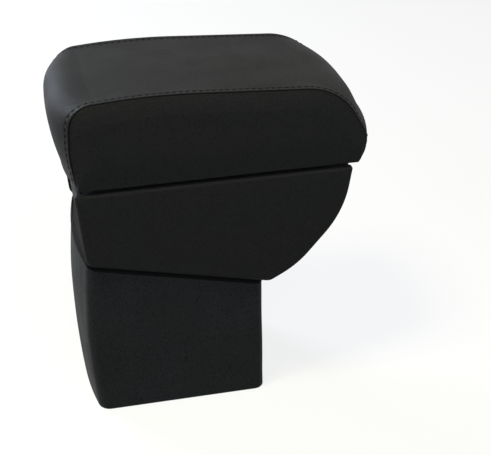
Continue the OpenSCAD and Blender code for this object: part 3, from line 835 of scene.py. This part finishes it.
class ARMREST_OT_lid_panels(bpy.types.Operator):
    """Sewn leatherette panels of the lid: the strip over its top and the two sides"""

    bl_idname = "armrest.lid_panels"
    bl_label = "Lid panels"

    def execute(self, context):
        look = context.scene.armrest_lid
        width, depth = look.seam_width * 1000, look.seam_depth * 1000
        offset, stitch = look.stitch_offset * 1000, look.stitch_length * 1000
        path = open_lid_path(0.95)
        high = off_heel(path[:, 1])
        spots, pitch = stitch_spots(path, look)
        phase = np.abs((along(path[:, :2]) - spots[0] + pitch / 2) % pitch - pitch / 2)
        holes = np.exp(-(((phase - stitch / 2) / 0.75) ** 2)) * high
        # Rows of points lie close together at the seam and in the furrow of the stitching
        reach = [0, 0.06, 0.18, 0.36, 0.6, 0.9, 1.25, 1.65, 2.1, 2.7, 3.4, 4.4, 5.2, 5.8, 6.3, 6.6]
        reach += [6.9, 7.4, 8.2, 9.5, 11, 13, 15.5, 18.5, 22, 26, 30.5, 35.5, 41, 47, 53, 59.5, 66]
        rows = []
        for y in rows_between(SEAM_Y, reach):
            away = SEAM_Y - abs(y)
            furrow = 0.05 * math.exp(-(((away - offset) / 1.0) ** 2)) * high
            pricks = 0.5 * math.exp(-(((away - offset) / 0.8) ** 2)) * holes
            sunk = furrow + pricks + seam_curl(away, width, depth) * high
            rows.append(lid_point(path, y, top_lift(path, y) - sunk))
        top = make_piece("lid_top_panel", *face_grid(rows), "lid", LID_MIDDLE, HIDE)
        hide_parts("lid_cover_top")
        self.side_panels(depth)
        return {"FINISHED"}

    def side_panels(self, depth):
        """Both side panels, from their edge in the seam to their middle."""
        loop = rounded(LID_OUTLINE, 1.6)
        x, z, nx, nz = loop.T
        high = off_heel(z)
        # Below, the panel is turned in over the lid's solid, deepest beside the hinge and catch
        under = (np.abs(z) < 1e-6) & (nz < -0.99)
        from_heel = np.minimum(x, LID_LENGTH - x)
        flap = SEAM_Y - 9 * smooth((from_heel - 24) / 3)
        tucked = np.where(from_heel < 27, 0.2, 0.0)
        rings = []
        # The panel's edge: distance outward of the seam, and depth below the outline
        edge = ((0.1, 2.1), (0.2, 1.45), (0.3, 1.1), (0.4, 0.88), (0.5, 0.76), (0.58, 0.8))
        for out, sunk in ((0, depth), *edge):
            base = beside_seam(loop, out, sunk)
            rings.append(beside_seam(loop, out, sunk, PADDING.lift(base, z)))
        for u in (0.06, 0.1, 0.15, 0.21, 0.28, 0.36, 0.45, 0.55, 0.66, 0.78, 0.9, 1.0):
            base = side_point(loop, u)
            lift = PADDING.lift(base, z) + uneven(base, 30.0, 0.3, 5) * high * smooth(u * 1.5)
            # The padding lifts the panel off the outline at the seam, and outward below it
            turned = smooth(u / 0.5)
            rise = lift * (1 - turned)
            rings.append(base + np.column_stack([nx * rise, lift * turned, nz * rise]))
        for k, ring in enumerate(rings):
            share = k / (len(rings) - 1)
            ring[under] = np.column_stack(
                [x[under], flap[under] + (UNDER_Y - flap[under]) * share, tucked[under]]
            )
            under_edge(ring)
        face = side_point(loop, 1)
        face[under, 2] = 0
        centre = np.array([122.0, SIDE_Y, 38.0])
        for f in (0.012, 0.03, 0.055, 0.09, 0.14, 0.2, 0.28, 0.38, 0.5, 0.62, 0.74, 0.85, 0.94):
            ring = face + (centre - face) * f
            swell = side_swell(SIDE_ROLL + from_line(ring, face), ring[:, 2])
            ring[:, 1] = SEAM_Y + LIP + swell
            lift = PADDING.lift(ring, z + 60 * f)
            lift += uneven(ring, 30.0, 0.3, 5) * np.maximum(high, smooth(z / 10 + f * 5))
            ring[:, 1] += lift
            rings.append(under_edge(ring))
        panel = ("lid_side_panel", *closed_off(rings), "lid", LID_MIDDLE, HIDE)
        for piece, side in make_pair(*panel):
            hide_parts(f"lid_cover_{side}")


class ARMREST_OT_seams(bpy.types.Operator):
    """Black binding sewn into the seams between the lid's panels, sunk below them. It is painted
    shade: it covers the grooves' walls so that each seam shows as a dark line.
    """

    bl_idname = "armrest.seams"
    bl_label = "Seams"

    def execute(self, context):
        path = rounded(LID_OUTLINE, 1.2)
        path = kept_run(path, (np.abs(path[:, 1]) >= 1.4) | (path[:, 3] >= -0.2))
        z = path[:, 1]
        rows = []
        # Across the top's side of the seam: distance from it, and depth below the panel
        top = ((2.2, 0.12), (1.75, 0.17), (1.3, 0.36), (0.9, 0.7), (0.5, 1.25), (0.2, 1.8))
        for away, sunk in top:
            lift = PADDING.lift(lid_point(path, SEAM_Y - away), z)
            rows.append(lid_point(path, SEAM_Y - away, lift - sunk * off_heel(z)))
        for out, sunk in ((0.0, 2.1), (0.1, 1.9), (0.2, 1.35), (0.3, 1.0), (0.4, 0.8)):
            lift = PADDING.lift(beside_seam(path, out, sunk), z)
            rows.append(beside_seam(path, out, sunk, lift))
        # Painted shade: the near-black binding covers both walls of each groove, where the seam's
        # shade falls
        make_pair("lid_seam_shade", *face_grid(rows), "lid", LID_MIDDLE, 0.4, finish="binding")
        return {"FINISHED"}


class ARMREST_OT_top_stitching(bpy.types.Operator):
    """Rows of top-stitching beside the lid's seams"""

    bl_idname = "armrest.top_stitching"
    bl_label = "Top-stitching"

    def execute(self, context):
        look = context.scene.armrest_lid
        offset, length = look.stitch_offset * 1000, look.stitch_length * 1000
        path = open_lid_path(0.95)
        s = along(path[:, :2])
        spots, _ = stitch_spots(path, look)
        # One stitch is a tube of rings: steps run along it, and turn round it
        steps = np.linspace(-1, 1, 9)
        turn = np.linspace(0, 2 * math.pi, 9)[:-1, None]
        rim = np.arange(len(turn))
        tube = quads(len(steps), len(turn), closed=True)
        last = (len(steps) - 1) * len(turn)
        # The thread thins at both ends, where it dives into its holes
        radius = 0.5 * np.sqrt(np.clip(1 - 0.75 * np.abs(steps) ** 6, 0, 1))
        for side, word in SIDES:
            y = side * (SEAM_Y - offset)
            points, faces = [], []
            for spot in spots:
                at = spot + steps * length / 2
                line = np.column_stack([np.interp(at, s, path[:, k]) for k in range(4)])
                line[:, 2:] = unit(line[:, 2:])
                # The thread stands over its furrow
                middle = lid_point(line, y, top_lift(line, y) - 0.05 - 0.62 * np.abs(steps) ** 4)
                up = np.column_stack([line[:, 2], 0 * steps, line[:, 3]])[:, None]
                spokes = np.cos(turn) * up + np.sin(turn) * np.array([0, 1.0, 0])
                start = len(points) * len(steps) * len(turn)
                points.append(middle[:, None] + radius[:, None, None] * spokes)
                faces += [*(tube + start).tolist(), rim + start, rim + start + last]
            points = np.array(points).reshape(-1, 3)
            make_piece(f"lid_top_stitches_{word}", points, faces, "lid", finish="thread")
        return {"FINISHED"}


class ARMREST_OT_box_panels(bpy.types.Operator):
    """Side panels of the box, wrapped in leatherette"""

    bl_idname = "armrest.box_panels"
    bl_label = "Box side panels"

    def execute(self, context):
        loop = rounded(BOX_OUTLINE, 1.4)
        # The inner face, its narrow rim, and the outer edge, which is rounded by this radius
        edge = 3.2
        start = ((edge, 0), (1.0, 0), (0.5, 0.12), (0.15, 0.4), (0, 0.9))
        rings = [shifted(loop, INNER_Y + out, -depth) for depth, out in start]
        for t in np.radians([0, 15, 30, 45, 60, 75, 90]):
            depth, back = edge * (1 - math.cos(t)), edge * (1 - math.sin(t))
            rings.append(shifted(loop, BOX_Y - back, -depth))
        # The outer face, padded a little more towards its middle
        face = rings[-1]
        centre = np.array([118.0, BOX_Y, -50.0])
        shares = [0.008, 0.02, 0.04, 0.07, 0.11, 0.16, 0.23]
        for f in [*shares, 0.31, 0.41, 0.52, 0.63, 0.74, 0.85, 0.94]:
            inner = face + (centre - face) * f
            inner[:, 1] = BOX_Y
            padded = smooth(from_line(inner, face) / 14)
            inner[:, 1] += (0.35 + uneven(inner, 34.0, 0.3, 9)) * padded
            rings.append(inner)
        points, faces = closed_off(rings)
        faces.append(list(range(len(loop))))
        for piece, side in make_pair("box_side_panel", points, faces, "box"):
            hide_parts(f"side_cover_{side}")
        return {"FINISHED"}


class ARMREST_OT_box_cover(bpy.types.Operator):
    """Leatherette round the rear, the floor and the curved front of the box"""

    bl_idname = "armrest.box_cover"
    bl_label = "Box cover"

    def execute(self, context):
        a, b, c, d = BOX_OUTLINE[:4]
        rear, front = (b[0] - a[0]) / (b[1] - a[1]), (c[0] - d[0]) / (c[1] - d[1])
        drawn = inset(BOX_OUTLINE, COVER_DEPTH)
        # The covering is folded over the boards' top edges and ends at the hinge and the rim frame
        rear_fold = 6.2
        rim_front = (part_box("rim_frame")[1].x - HEEL[0]) * 1000
        for k, top, slope in ((1, COVER_TOP, rear), (2, FRONT_TOP, front)):
            drawn[k] = (drawn[k][0] + (top - drawn[k][1]) * slope, top, 1.4)
        loop = rounded(drawn, 1.2)
        keep = (loop[:, 0] < drawn[1][0] + rear_fold) | (loop[:, 0] > rim_front + 0.4)
        path = kept_run(loop, keep | (loop[:, 1] < COVER_TOP - 1))
        reach = [0, 0.25, 0.6, 1.1, 1.8, 3, 5, 9, 15, 23, 32, 42, 52, 62]
        rows = []
        for y in rows_between(INNER_Y, reach):
            away, base = INNER_Y - abs(y), shifted(path, y, 0)
            lift = uneven(base, 40.0, 0.3, 14) * smooth(away / 12) - seam_curl(away, 1.4, 0.9)
            rows.append(shifted(path, y, lift))
        piece = make_piece("box_wrap", *face_grid(rows), "box", (118, 0, -45), HIDE)
        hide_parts("box_cover")
        return {"FINISHED"}


class ARMREST_OT_column_sleeve(bpy.types.Operator):
    """Leatherette sleeve of the column"""

    bl_idname = "armrest.column_sleeve"
    bl_label = "Column sleeve"

    def execute(self, context):
        arcs = corner_arcs(COLUMN_REAR, COLUMN_FRONT, INNER_Y, COLUMN_EDGE, 9)
        plan = []
        for arc, after, steps in zip(arcs, arcs[1:] + arcs[:1], (40, 44, 44, 44)):
            plan += [arc, np.linspace(arc[-1], after[0], steps + 1)[1:-1]]
        plan = np.vstack(plan)
        normal = np.roll(plan, -1, axis=0) - np.roll(plan, 1, axis=0)
        normal = unit(np.column_stack([normal[:, 1], -normal[:, 0]]))
        # The sleeve ends a little over the foot plate's underside
        low = 0.6 - SEAT_H
        behind = plan[:, 0] < FOOT_X

        def ring(t):
            """Points round the column at share t of its height, and that height."""
            back = smooth((FOOT_X - plan[:, 0]) / FOOT_X)
            x = plan[:, 0] + np.where(behind, COLUMN_WAIST * (2 * t - 1) ** 2, 0) * back
            x = np.where(behind, x - COLUMN_BULGE * (1 - (plan[:, 1] / INNER_Y) ** 2), x)
            top = box_floor(x) + COVER_DEPTH * FLOOR_RISE + 0.3
            return np.column_stack([x, plan[:, 1], low + t * (top - low)]), top - low

        def outward(base, lift):
            """The points moved square to the column's outline."""
            return base + np.column_stack([normal * np.reshape(lift, (-1, 1)), 0 * base[:, 0]])

        rings = []
        for t in np.concatenate([[0, 0.002, 0.006, 0.012], np.linspace(0.025, 1, 46)]):
            base, _ = ring(t)
            # Soft upright folds and waves, which fade out at the foot and under the box
            folds = uneven(base / np.array([15, 15, 90]), 1.0, 0.55, 21)
            waves = (folds + uneven(base, 45.0, 0.5, 23)) * smooth(t * 6) * smooth((1 - t) * 8)
            rings.append(outward(base, waves - 0.3 - seam_curl(base[:, 2] - low, 1.2, 0.9)))
        # Binding round the sleeve's top edge, near black as painted shadow: it shows as the dark
        # line of the shadow gap under the box
        _, height = ring(1.0)
        bands = []
        for down, out in ((9.4, -0.5), (9.2, 0.1), (7, 0.2), (4, 0.2), (0.5, 0.1)):
            base, _ = ring(1 - down / height)
            bands.append(outward(base, np.full(len(plan), out)))
        band = ("column_top_binding", *face_grid(bands, closed=True), "box", (FOOT_X, 0, -100))
        make_piece(*band, finish="binding")
        sleeve = ("column_sleeve", *face_grid(rings, closed=True), "box", (FOOT_X, 0, -150), 0.8)
        # The sleeve takes the lighter copy of the leatherette, which is painted light
        piece = make_piece(*sleeve, finish="sleeve_leatherette_lit")
        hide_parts("column_cover")
        return {"FINISHED"}


class ARMREST_OT_bin_mat(bpy.types.Operator):
    """Felt mat on the floor of the bin"""

    bl_idname = "armrest.bin_mat"
    bl_label = "Felt mat"

    def execute(self, context):
        low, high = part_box("bin_mat")
        rear, front = (low.x - HEEL[0]) * 1000 + 0.4, (high.x - HEEL[0]) * 1000 - 0.4
        half, radius = high.y * 1000 - 0.3, 4.0
        # From below to above: distance in from the mat's edge, and height over its underside
        section = [(2.0, 0.05), (0.7, 0.05), (0.15, 0.5), (0.0, 1.0), (0.15, 1.6), (0.7, 2.0)]
        section.append((2.0, 2.05))
        rings = []
        for depth, up in section:
            arcs = corner_arcs(rear + depth, front - depth, half - depth, radius - depth, 7)
            plan = np.vstack(arcs)
            z = box_floor(plan[:, 0]) + (MAT_SEAT + up) * FLOOR_RISE
            rings.append(np.column_stack([plan, z]))
        piece = make_piece("bin_felt_mat", *capped(rings), "box", slot="grey_felt")
        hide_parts("bin_mat")
        return {"FINISHED"}


class ARMREST_OT_finishes(bpy.types.Operator):
    """Materials of the boards, mouldings, steel and rubber parts"""

    bl_idname = "armrest.finishes"
    bl_label = "Finishes"

    def execute(self, context):
        for part in frame["record"]["subparts"]:
            mesh = frame["nodes"][part["node"]].data
            material = material_for(part["material_slot"])
            if not mesh.materials:
                mesh.materials.append(material)
            for k in range(len(mesh.materials)):
                mesh.materials[k] = material
        return {"FINISHED"}


class ARMREST_OT_studio(bpy.types.Operator):
    """Pale floor, soft light and camera"""

    bl_idname = "armrest.studio"
    bl_label = "Studio"

    def execute(self, context):
        look = context.scene.armrest_studio
        scene = context.scene
        scene.view_settings.view_transform = "Standard"
        mesh = bpy.data.meshes.new("studio_floor")
        mesh.from_pydata([(-6, -6, 0), (6, -6, 0), (6, 6, 0), (-6, 6, 0)], [], [(0, 1, 2, 3)])
        floor = bpy.data.objects.new("studio_floor", mesh)
        scene.collection.objects.link(floor)
        # Matt paper, which shows even and pale but throws back only a little light
        material = bpy.data.materials.new("paper_backdrop_matt")
        material.use_nodes = True
        tree = material.node_tree
        tree.nodes.clear()
        seen = self.seen(tree)
        share = node(tree, "ShaderNodeMath", {0: seen, 1: 0.8}, operation="MULTIPLY").outputs[0]
        bounce, floor_colour = (c[:] + (1.0,) for c in (look.bounce_colour, look.floor_colour))
        mix = {"Factor": seen, "A": bounce, "B": floor_colour}
        shade = node(tree, "ShaderNodeMix", mix, data_type="RGBA").outputs["Result"]
        paper = node(tree, "ShaderNodeBsdfDiffuse", {"Color": shade}).outputs[0]
        white = node(tree, "ShaderNodeEmission", {"Strength": 1.0}).outputs[0]
        both = node(tree, "ShaderNodeMixShader", {0: share, 1: paper, 2: white}).outputs[0]
        node(tree, "ShaderNodeOutputMaterial", {"Surface": both})
        mesh.materials.append(material)

        # A white room where it is seen, which gives only a little light
        world = bpy.data.worlds.new("studio_room")
        scene.world = world
        world.use_nodes = True
        tree = world.node_tree
        tree.nodes.clear()
        sky = {"Color": linear("#eef2fa"), "Strength": look.sky_level}
        room = node(tree, "ShaderNodeBackground", sky).outputs[0]
        white = {"Color": (1, 1, 1, 1), "Strength": 1.0}
        paper = node(tree, "ShaderNodeBackground", white).outputs[0]
        sides = {0: self.seen(tree), 1: room, 2: paper}
        both = node(tree, "ShaderNodeMixShader", sides).outputs[0]
        node(tree, "ShaderNodeOutputWorld", {"Surface": both})

        # Place, width in metres, power and colour of each lamp
        key = look.key_power
        self.lamp("overhead_softbox", (-0.45, -0.4, 1.6), 0.5, key * 0.95, "#f9f4c6")
        self.lamp("rear_window", (-1.0, 1.4, 0.8), 0.8, key * 1.9, "#e0e9fb")
        self.lamp("side_fill", (0.3, -1.25, 1.1), 0.9, key * 0.75, "#e4eef4")
        self.lamp("rear_edge", (-1.4, -0.6, 0.55), 0.3, key * 0.25, "#e6eeff")

        # The photo's camera: its lens, its place, and its directions in the frame
        camera = bpy.data.cameras.new("camera")
        camera.sensor_fit = "HORIZONTAL"
        camera.sensor_width = 36
        camera.lens = 93.47
        eye = bpy.data.objects.new("camera", camera)
        right = Vector((0.97612717, -0.21652613, -0.01709311))
        up = Vector((0.11567945, 0.45166042, 0.88465877))
        ahead = Vector((0.18383146, 0.86551678, -0.46592563))
        turn = Matrix((right, up, -ahead)).transposed().to_4x4()
        eye.matrix_world = Matrix.Translation((-0.14103, -1.04706, 0.69988)) @ turn
        scene.collection.objects.link(eye)
        scene.camera = eye
        return {"FINISHED"}

    def seen(self, tree):
        """1 where a camera, glossy or transmission ray looks, so that gloss shows the backdrop."""
        rays = node(tree, "ShaderNodeLightPath").outputs
        looks = rays["Is Camera Ray"]
        for other in ("Is Glossy Ray", "Is Transmission Ray"):
            either = {0: looks, 1: rays[other]}
            looks = node(tree, "ShaderNodeMath", either, operation="MAXIMUM").outputs[0]
        return looks

    def lamp(self, name, place, size, power, colour):
        """A round area lamp turned to the middle of the armrest."""
        light = bpy.data.lights.new(name, "AREA")
        light.shape = "DISK"
        light.size = size
        light.energy = power
        light.color = linear(colour)[:3]
        lamp = bpy.data.objects.new(name, light)
        target = Vector((0.03, 0.0, 0.2))
        lamp.location = place
        lamp.rotation_mode = "QUATERNION"
        lamp.rotation_quaternion = (target - Vector(place)).to_track_quat("-Z", "Y")
        bpy.context.scene.collection.objects.link(lamp)


SETTINGS = {
    "armrest_leatherette": LeatheretteSettings,
    "armrest_lid": LidSettings,
    "armrest_studio": StudioSettings,
}
STEPS = (
    ARMREST_OT_finishes,
    ARMREST_OT_lid_padding,
    ARMREST_OT_lid_panels,
    ARMREST_OT_seams,
    ARMREST_OT_top_stitching,
    ARMREST_OT_box_panels,
    ARMREST_OT_box_cover,
    ARMREST_OT_column_sleeve,
    ARMREST_OT_bin_mat,
    ARMREST_OT_studio,
)


class ARMREST_PT_sidebar(bpy.types.Panel):
    """Settings and steps of the armrest"""

    bl_idname = "ARMREST_PT_sidebar"
    bl_label = "Armrest"
    bl_space_type = "VIEW_3D"
    bl_region_type = "UI"
    bl_category = "Armrest"

    def draw(self, context):
        layout = self.layout
        for name, group in SETTINGS.items():
            box = layout.box()
            for key in group.__annotations__:
                box.prop(getattr(context.scene, name), key)
        for step in STEPS:
            layout.operator(step.bl_idname)


CLASSES = (*SETTINGS.values(), *STEPS, ARMREST_PT_sidebar)


def register():
    for item in CLASSES:
        bpy.utils.register_class(item)
    for name, group in SETTINGS.items():
        setattr(bpy.types.Scene, name, PointerProperty(type=group))


def unregister():
    for name in SETTINGS:
        delattr(bpy.types.Scene, name)
    for item in reversed(CLASSES):
        bpy.utils.unregister_class(item)


def main():
    """Builds the scene."""
    register()
    for step in STEPS:
        name = step.bl_idname.split(".")[1]
        getattr(bpy.ops.armrest, name)()


if __name__ == "__main__":
    main()
